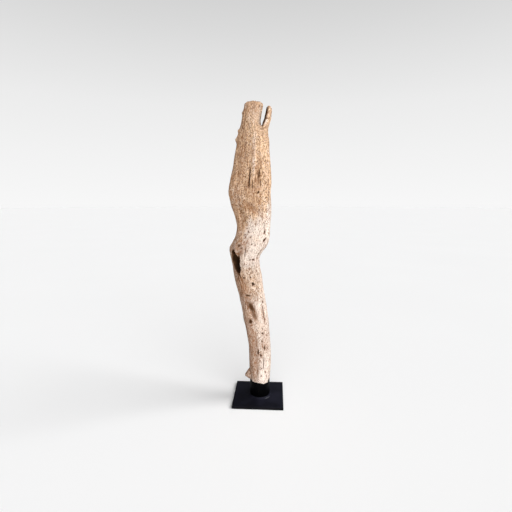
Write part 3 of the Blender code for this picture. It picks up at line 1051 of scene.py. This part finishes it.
class DRIFTWOOD_OT_stage(bpy.types.Operator):
    """Makes the pale floor, the light and the camera"""

    bl_idname = "driftwood.stage"
    bl_label = "Make Stage"
    bl_options = {"REGISTER", "UNDO"}

    def execute(self, context):
        settings = context.scene.driftwood_stage
        deselect_all()
        bpy.ops.mesh.primitive_circle_add(
            vertices=128, radius=settings.floor_radius, fill_type="TRIFAN", location=(0, 0, 0)
        )
        floor = context.object
        floor.name = "floor"
        floor.data.materials.append(floor_material(settings.floor_colour))
        self.light(context, settings)
        self.camera(context)
        context.scene.view_settings.view_transform = "Standard"
        return {"FINISHED"}

    def light(self, context, settings):
        height = settings.key_height
        level = math.cos(height)
        towards = Vector((KEY_HEADING[0] * level, KEY_HEADING[1] * level, math.sin(height)))
        bpy.ops.object.light_add(type="SUN", location=towards * 3)
        sun = context.object
        sun.name = "key"
        sun.data.energy = settings.key
        sun.data.angle = settings.key_spread
        sun.rotation_euler = towards.to_track_quat("Z", "Y").to_euler()

        # Surfaces are lit by a dim even fill with two broad soft lights in it. Behind them
        # the camera sees a backdrop that meets the floor at the horizon and greys above.
        world = Shader("backdrop", bpy.data.worlds.new("backdrop"), "World Output")
        context.scene.world = world.material
        direction = world.node("ShaderNodeTexCoord").outputs["Generated"]
        overhead = world.lobe(direction, (0, 0, 1), 3, settings.overhead)
        front = world.lobe(direction, FRONT_LIGHT, 6, settings.front)
        soft = world.maths("ADD", overhead, front)
        strength = world.maths("ADD", soft, settings.fill)
        lit = world.node("ShaderNodeBackground", {"Color": (1, 1, 1), "Strength": strength})
        height_of = world.node("ShaderNodeSeparateXYZ", {0: direction}).outputs["Z"]
        ramp = world.node("ShaderNodeValToRGB", {"Fac": height_of})
        elements = ramp.color_ramp.elements
        while len(elements) < len(BACKDROP_GREYS):
            elements.new(1.0)
        for element, (place, grey) in zip(elements, BACKDROP_GREYS):
            element.position = place
            element.color = (grey, grey, grey, 1)
        seen = world.node("ShaderNodeBackground", {"Color": ramp.outputs["Color"]})
        path = world.node("ShaderNodeLightPath").outputs["Is Camera Ray"]
        mix = world.node("ShaderNodeMixShader", {0: path, 1: lit.outputs[0], 2: seen.outputs[0]})
        world.tree.links.new(mix.outputs[0], world.surface.inputs["Surface"])

    def camera(self, context):
        bpy.ops.object.camera_add(location=CAMERA_PLACE)
        camera = context.object
        camera.name = "camera"
        tilt, turn = math.radians(90 - CAMERA_DOWN_DEG), math.radians(CAMERA_LEFT_DEG)
        camera.rotation_euler = (tilt, 0, turn)
        camera.data.lens = LENS
        camera.data.sensor_width = SENSOR
        camera.data.clip_start = 0.01
        context.scene.camera = camera


class DRIFTWOOD_OT_wood(bpy.types.Operator):
    """Carves and finishes the driftwood from the frame's wood"""

    bl_idname = "driftwood.wood"
    bl_label = "Make Driftwood"
    bl_options = {"REGISTER", "UNDO"}

    def execute(self, context):
        settings = context.scene.driftwood_wood
        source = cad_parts["driftwood"]
        wood = bpy.data.objects.new("driftwood_piece", source.data.copy())
        context.scene.collection.objects.link(wood)
        edit_mesh(wood)
        bpy.ops.mesh.select_all(action="SELECT")
        bpy.ops.mesh.remove_doubles(threshold=MERGE_DISTANCE)
        leave_edit(wood)
        apply_modifier(wood, "REMESH", mode="VOXEL", voxel_size=settings.mesh_size)
        apply_modifier(wood, "SMOOTH", factor=0.5, iterations=4)
        carve(wood, settings)
        apply_modifier(wood, "TRIANGULATE")
        share = settings.triangles / len(wood.data.polygons)
        if share < 1:
            apply_modifier(wood, "DECIMATE", ratio=share)
        shade(wood, 60)
        material = wood_material(settings)
        finish_piece(wood, "driftwood_piece", "bleached_wood", material, "driftwood")
        return {"FINISHED"}


class DRIFTWOOD_OT_plate(bpy.types.Operator):
    """Makes the square base plate"""

    bl_idname = "driftwood.plate"
    bl_label = "Make Base Plate"
    bl_options = {"REGISTER", "UNDO"}

    def execute(self, context):
        settings = context.scene.driftwood_stand
        deselect_all()
        bpy.ops.mesh.primitive_cube_add(size=1, location=(PLATE_LOW + PLATE_HIGH) / 2)
        plate = context.object
        plate.scale = PLATE_HIGH - PLATE_LOW
        place_in_mesh(plate)
        self.bevel(plate, True, settings.plate_corner, 4)
        self.bevel(plate, False, settings.plate_edge, 3)
        shade(plate, 35)
        material = black_steel_material(
            "black_plate",
            settings.plate_colour,
            settings.bare_and_highlight_colour,
            rubbed_plate_edges,
            painted_light=painted_light_on_plate,
            gloss=0.08,
        )
        finish_piece(plate, "stand_plate", "plate_black", material, "base_plate")
        return {"FINISHED"}

    def bevel(self, plate, upright, width, segments):
        """Bevels the plate's upright edges, or its level ones."""
        mesh = edit_mesh(plate)
        for edge in mesh.edges:
            first, second = edge.verts
            edge.select = (abs(first.co.z - second.co.z) > MM) == upright
        mesh.select_flush_mode()
        bpy.ops.mesh.bevel(offset=width, segments=segments, affect="EDGES")
        leave_edit(plate)


class DRIFTWOOD_OT_tube(bpy.types.Operator):
    """Makes the round socket tube"""

    bl_idname = "driftwood.tube"
    bl_label = "Make Socket Tube"
    bl_options = {"REGISTER", "UNDO"}

    def execute(self, context):
        settings = context.scene.driftwood_stand
        deselect_all()
        bpy.ops.mesh.primitive_cylinder_add(
            vertices=144,
            radius=TUBE_RADIUS,
            depth=TUBE_HIGH.z - TUBE_LOW.z,
            end_fill_type="NOTHING",
            location=TUBE_AXIS,
        )
        tube = context.object
        place_in_mesh(tube)
        apply_modifier(tube, "SOLIDIFY", thickness=TUBE_WALL, offset=-1)
        apply_modifier(
            tube,
            "BEVEL",
            width=settings.rim_round,
            segments=3,
            limit_method="ANGLE",
            angle_limit=math.radians(60),
        )
        shade(tube, 35)
        material = black_steel_material(
            "black_tube", settings.tube_colour, settings.bare_and_highlight_colour, rubbed_rim
        )
        finish_piece(tube, "stand_tube", "tube_black", material, "socket_tube")
        return {"FINISHED"}


class DRIFTWOOD_OT_weld(bpy.types.Operator):
    """Makes the rippled weld bead round the tube's foot"""

    bl_idname = "driftwood.weld"
    bl_label = "Make Weld Bead"
    bl_options = {"REGISTER", "UNDO"}

    def execute(self, context):
        settings = context.scene.driftwood_stand
        inner = TUBE_RADIUS + WELD_GAP
        leg = WELD_HIGH.x - TUBE_AXIS.x - inner
        base = WELD_LOW.z
        mesh = bpy.data.meshes.new("weld")
        weld = bpy.data.objects.new("weld", mesh)
        context.scene.collection.objects.link(weld)
        profile = [(inner, base), (inner + leg, base)]
        for step in range(1, WELD_FACE_STEPS):
            turn = math.pi / 2 * step / WELD_FACE_STEPS
            reach = inner + leg * (1 - WELD_SAG * math.sin(turn))
            profile.append((reach, base + leg * (1 - WELD_SAG * math.cos(turn))))
        profile.append((inner, base + leg))
        corners = [(TUBE_AXIS.x + r, TUBE_AXIS.y, z) for r, z in profile]
        count = len(corners)
        mesh.from_pydata(corners, [(i, (i + 1) % count) for i in range(count)], [])
        edit_mesh(weld)
        bpy.ops.mesh.select_all(action="SELECT")
        bpy.ops.mesh.spin(
            steps=WELD_TURN_STEPS,
            angle=2 * math.pi,
            center=(TUBE_AXIS.x, TUBE_AXIS.y, 0),
            axis=(0, 0, 1),
        )
        bpy.ops.mesh.select_all(action="SELECT")
        bpy.ops.mesh.remove_doubles(threshold=MERGE_DISTANCE)
        bpy.ops.mesh.normals_make_consistent(inside=False)
        leave_edit(weld)
        self.ripple(weld, settings.weld_ripples, inner, leg, base)
        shade(weld, 50)
        # The weld's doubled bare steel is a painted highlight on its front right arc
        material = black_steel_material(
            "black_weld", settings.plate_colour, tone(settings.bare_and_highlight_colour, 2.0), painted_weld_highlight
        )
        finish_piece(weld, "stand_weld", "weld_black", material, "weld_bead")
        return {"FINISHED"}

    def ripple(self, weld, ripples, inner, leg, base):
        """Presses the overlapping beads of the weld into its face."""
        points = vectors_of(weld.data.vertices, "co")
        offset = points[:, :2] - np.array((TUBE_AXIS.x, TUBE_AXIS.y))
        turn = np.arctan2(offset[:, 1], offset[:, 0])
        reach = np.hypot(offset[:, 0], offset[:, 1])
        on_face = (reach > inner + 0.3 * MM) & (points[:, 2] > base + 0.3 * MM)
        phase = turn * ripples / 2 + 0.5 * (reach - inner) / leg
        wave = np.abs(np.sin(phase)) - 0.6
        wave += 0.5 * gradient_noise(on_drum(turn, 9, reach * 0), 51)
        push = np.where(on_face, wave * WELD_RIPPLE, 0)
        scale = 1 + push / reach
        points[:, :2] = np.array((TUBE_AXIS.x, TUBE_AXIS.y)) + offset * scale[:, None]
        points[:, 2] += push * 0.6
        points[:, 2] = np.maximum(points[:, 2], base)
        set_points(weld.data, points)


class DRIFTWOOD_OT_screws(bpy.types.Operator):
    """Makes the two screws behind the tube"""

    bl_idname = "driftwood.screws"
    bl_label = "Make Screws"
    bl_options = {"REGISTER", "UNDO"}

    def execute(self, context):
        settings = context.scene.driftwood_stand
        material = black_steel_material(
            "black_screw", settings.tube_colour, settings.bare_and_highlight_colour, rubbed_everywhere
        )
        for side in ("left", "right"):
            low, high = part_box(f"fixing_screw_{side}")
            centre = (low + high) / 2
            across = centre - TUBE_AXIS
            across.z = 0
            screw = self.model_screw(context)
            outward = across.normalized()
            seat = Vector((TUBE_AXIS.x, TUBE_AXIS.y, centre.z)) + outward * TUBE_RADIUS
            turn = outward.to_track_quat("Z", "Y").to_matrix().to_4x4()
            screw.matrix_world = Matrix.Translation(seat) @ turn
            place_in_mesh(screw)
            shade(screw, 35)
            finish_piece(
                screw, f"stand_screw_{side}", "screw_black", material, f"fixing_screw_{side}"
            )
        return {"FINISHED"}

    def model_screw(self, context):
        """A pan head with a hexagon socket on a pointed shank, along its own Z."""
        deselect_all()
        screw = self.cylinder(context, 40, HEAD_RADIUS, HEAD_HEIGHT, HEAD_GAP + HEAD_HEIGHT / 2)
        place_in_mesh(screw)
        self.select_faces(screw, 1)
        bpy.ops.mesh.bevel(offset=1.0 * MM, segments=4, affect="EDGES")
        leave_edit(screw)
        self.select_faces(screw, -1)
        bpy.ops.mesh.inset(thickness=HEAD_RADIUS - SHANK_RADIUS)
        for length in (SHANK_LENGTH, POINT_LENGTH):
            down = {"value": (0, 0, -length)}
            bpy.ops.mesh.extrude_region_move(TRANSFORM_OT_translate=down)
        bpy.ops.transform.resize(value=(POINT_SHARE, POINT_SHARE, 1))
        leave_edit(screw)
        socket = self.cylinder(context, 6, HEX_RADIUS, HEX_DEPTH, HEAD_GAP + HEAD_HEIGHT)
        apply_modifier(screw, "BOOLEAN", operation="DIFFERENCE", object=socket)
        bpy.data.objects.remove(socket)
        return screw

    def cylinder(self, context, sides, radius, depth, height):
        bpy.ops.mesh.primitive_cylinder_add(
            vertices=sides, radius=radius, depth=depth, location=(0, 0, height)
        )
        return context.object

    def select_faces(self, screw, way):
        """Selects the faces that look up, or down, along the screw."""
        for face in edit_mesh(screw).faces:
            face.select = face.normal.z * way > 0.9


class DRIFTWOOD_PT_panel(bpy.types.Panel):
    """Lists the pieces and their settings"""

    bl_label = "Driftwood"
    bl_idname = "DRIFTWOOD_PT_panel"
    bl_space_type = "VIEW_3D"
    bl_region_type = "UI"
    bl_category = "Driftwood"

    def draw(self, context):
        layout = self.layout
        for operator in OPERATORS:
            layout.operator(operator.bl_idname)
        for name in SETTINGS:
            group = getattr(context.scene, name)
            box = layout.box()
            for prop in group.bl_rna.properties:
                if prop.identifier not in {"rna_type", "name"}:
                    box.prop(group, prop.identifier)


OPERATORS = (
    DRIFTWOOD_OT_stage,
    DRIFTWOOD_OT_wood,
    DRIFTWOOD_OT_plate,
    DRIFTWOOD_OT_tube,
    DRIFTWOOD_OT_weld,
    DRIFTWOOD_OT_screws,
)
SETTINGS = {
    "driftwood_wood": DriftwoodWoodSettings,
    "driftwood_stand": DriftwoodStandSettings,
    "driftwood_stage": DriftwoodStageSettings,
}
CLASSES = (*SETTINGS.values(), *OPERATORS, DRIFTWOOD_PT_panel)


def register():
    for cls in CLASSES:
        bpy.utils.register_class(cls)
    for name, group in SETTINGS.items():
        setattr(bpy.types.Scene, name, PointerProperty(type=group))


def unregister():
    for name in SETTINGS:
        delattr(bpy.types.Scene, name)
    for cls in reversed(CLASSES):
        bpy.utils.unregister_class(cls)


def main():
    register()
    bpy.ops.driftwood.stage()
    bpy.ops.driftwood.wood()
    bpy.ops.driftwood.plate()
    bpy.ops.driftwood.tube()
    bpy.ops.driftwood.weld()
    bpy.ops.driftwood.screws()


if __name__ == "__main__":
    main()
